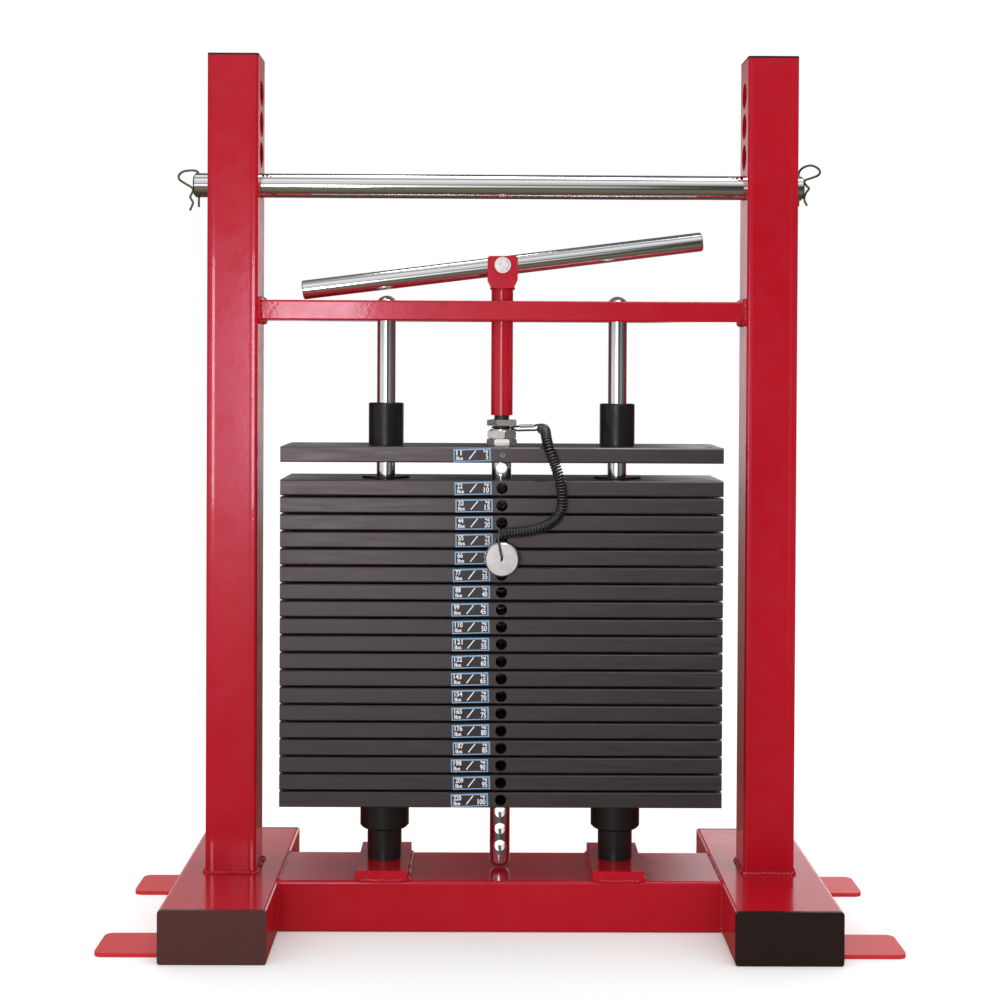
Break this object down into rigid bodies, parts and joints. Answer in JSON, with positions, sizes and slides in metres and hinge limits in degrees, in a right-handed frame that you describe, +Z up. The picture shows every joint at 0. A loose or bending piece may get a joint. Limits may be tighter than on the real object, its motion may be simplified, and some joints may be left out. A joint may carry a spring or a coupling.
{
  "type": "weight stack lifting stand",
  "caption": "Floor-standing tube frame with a pin-selected stack of weight plates on two guide rods, lifted by a tilting bar handle up to a crosswise stop bar.",
  "frame": {"origin": "on the floor under the middle of the stand", "axes": "+Z up, +X to the right of a person facing the labels, +Y to the back"},
  "size_m": [0.756, 0.28, 0.855],
  "materials": {
    "red_paint": "glossy red powder coat on steel tube",
    "foot_cap_plastic": "dark brown-black moulded plastic",
    "black_plastic": "black moulded plastic, satin",
    "black_rubber": "black rubber",
    "chrome": "bright chrome plate",
    "dark_steel": "dark oiled steel thread",
    "plated_steel": "bright zinc plate",
    "stack_paint": "fine textured dark grey paint on steel",
    "label_film": "printed film",
    "lanyard_cord": "black plastic-coated cable",
    "turned_aluminium": "turned and polished",
    "clip_wire": "dull olive plated spring wire"
  },
  "bodies": {
    "frame": {"left_foot": "red_paint", "right_foot": "red_paint", "foot_caps": "foot_cap_plastic", "floor_tabs": "red_paint", "base_beam": "red_paint", "left_upright": "red_paint", "right_upright": "red_paint", "upright_caps": "black_plastic", "crossbar": "red_paint", "rod_saddles": "red_paint", "left_guide_rod": "chrome", "right_guide_rod": "chrome", "rod_set_screws": "dark_steel", "stack_buffers": "black_rubber", "buffer_sleeves": "black_plastic", "plate_35kg": "stack_paint", "plate_40kg": "stack_paint", "plate_45kg": "stack_paint", "plate_50kg": "stack_paint", "plate_55kg": "stack_paint", "plate_60kg": "stack_paint", "plate_65kg": "stack_paint", "plate_70kg": "stack_paint", "plate_75kg": "stack_paint", "plate_80kg": "stack_paint", "plate_85kg": "stack_paint", "plate_90kg": "stack_paint", "plate_95kg": "stack_paint", "plate_100kg": "stack_paint", "lower_plate_bushes": "black_plastic", "lower_plate_labels": "label_film"},
    "carriage": {"top_plate": "stack_paint", "stem_set_screw": "dark_steel", "selector_stem": "chrome", "guide_collars": "black_plastic", "stem_lower_nut": "plated_steel", "stem_middle_nut": "plated_steel", "stem_top_nut": "plated_steel", "lift_stud": "dark_steel", "lift_tube": "red_paint", "handle_clevis": "red_paint", "pivot_bolt": "plated_steel", "pivot_nut": "plated_steel", "pivot_washers": "plated_steel", "plate_10kg": "stack_paint", "plate_15kg": "stack_paint", "plate_20kg": "stack_paint", "plate_25kg": "stack_paint", "plate_30kg": "stack_paint", "lifted_plate_bushes": "black_plastic", "lifted_plate_labels": "label_film", "lanyard_loop": "lanyard_cord", "lanyard_coil": "lanyard_cord"},
    "handle": {"handle_bar": "chrome"},
    "selector_pin": {"pin_shaft": "chrome", "pin_knob": "turned_aluminium", "lanyard_tail": "lanyard_cord"},
    "stop_bar": {"stop_bar": "chrome"},
    "left_clip": {"left_clip": "clip_wire"},
    "right_clip": {"right_clip": "clip_wire"}
  },
  "joints": [
    {"name": "stack_lift", "type": "slide", "parent": "frame", "child": "carriage", "axis": [0, 0, 1], "range_m": [0, 0.032]},
    {"name": "handle_tilt", "type": "hinge", "parent": "carriage", "child": "handle", "pos_m": [0, 0, 0.6495], "axis": [0, 1, 0], "range_deg": [0, 14.4]},
    {"name": "pin_pull", "type": "slide", "parent": "carriage", "child": "selector_pin", "axis": [0, -1, 0], "range_m": [0, 0.085]},
    {"name": "stop_bar_shift", "type": "slide", "parent": "frame", "child": "stop_bar", "axis": [1, 0, 0], "range_m": [-0.0028, 0.0105]},
    {"name": "left_clip_pull", "type": "slide", "parent": "stop_bar", "child": "left_clip", "axis": [0, 0, 1], "range_m": [0, 0.04]},
    {"name": "right_clip_pull", "type": "slide", "parent": "stop_bar", "child": "right_clip", "axis": [0, 0, 1], "range_m": [0, 0.04]}
  ]
}
